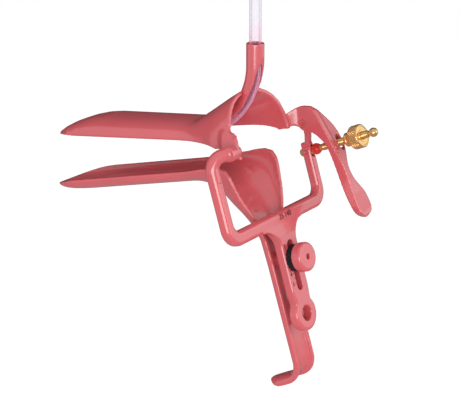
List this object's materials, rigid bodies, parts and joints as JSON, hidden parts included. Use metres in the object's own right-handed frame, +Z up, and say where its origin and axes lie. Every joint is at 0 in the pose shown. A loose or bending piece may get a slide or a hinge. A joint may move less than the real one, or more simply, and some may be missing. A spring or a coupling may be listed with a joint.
{
  "type": "bivalve speculum",
  "caption": "Coral dip-coated bivalve speculum: yoke frame, sliding lower blade with clamp, lever-opened upper blade, brass opening screw, smoke guide and clear hose.",
  "frame": {"origin": "centre of the hang hole in the handle's ring end, on the handle's front face", "axes": "+X towards the operator along the hang hole's axis, blades towards -X, +Y to the lever side, +Z up along the handle"},
  "size_m": [0.1793, 0.0916, 0.2248],
  "materials": {
    "coating": "glossy dip coating with soft rounded edges",
    "brass": "bright polished brass",
    "black_washer": "black with a toothed edge",
    "clear_hose": "clear soft tube with a faint pink tint",
    "connector_plastic": "pale moulded plastic"
  },
  "bodies": {
    "frame_body": {"frame": "coating", "pivot_screw_left": "coating", "pivot_screw_right": "coating", "rod_pin": "coating"},
    "upper_body": {"upper_blade": "coating", "smoke_guide": "coating", "smoke_tube": "coating", "smoke_hose": "clear_hose", "hose_connector": "connector_plastic"},
    "lower_body": {"lower_blade": "coating", "clamp_stud": "coating", "clamp_washer": "black_washer"},
    "clamp_nut_body": {"clamp_nut": "coating"},
    "rod_body": {"threaded_rod": "brass", "rod_end_ball": "brass"},
    "thumb_nut_body": {"thumb_nut": "brass"}
  },
  "joints": [
    {"name": "upper_blade_hinge", "type": "hinge", "parent": "frame_body", "child": "upper_body", "pos_m": [0.0027, 0, 0.0916], "axis": [0, 1, 0], "range_deg": [-8, 20]},
    {"name": "lower_blade_slide", "type": "slide", "parent": "frame_body", "child": "lower_body", "axis": [0, 0, 1], "range_m": [-0.013, 0.0065]},
    {"name": "clamp_nut_spin", "type": "hinge", "parent": "lower_body", "child": "clamp_nut_body", "pos_m": [0.006, 0, 0.0294], "axis": [1, 0, 0], "continuous": true},
    {"name": "rod_swing", "type": "hinge", "parent": "frame_body", "child": "rod_body", "pos_m": [-0.0043, 0.041, 0.0757], "axis": [0, 1, 0], "range_deg": [-4, 10]},
    {"name": "thumb_nut_travel", "type": "slide", "parent": "rod_body", "child": "thumb_nut_body", "axis": [0.9942, 0, 0.108], "range_m": [-0.006, 0.0024]}
  ],
  "couplings": [
    {"joint": "rod_swing", "follows": "upper_blade_hinge", "ratio": 0.5},
    {"joint": "thumb_nut_travel", "follows": "upper_blade_hinge", "m_per_rad": -0.0172}
  ]
}
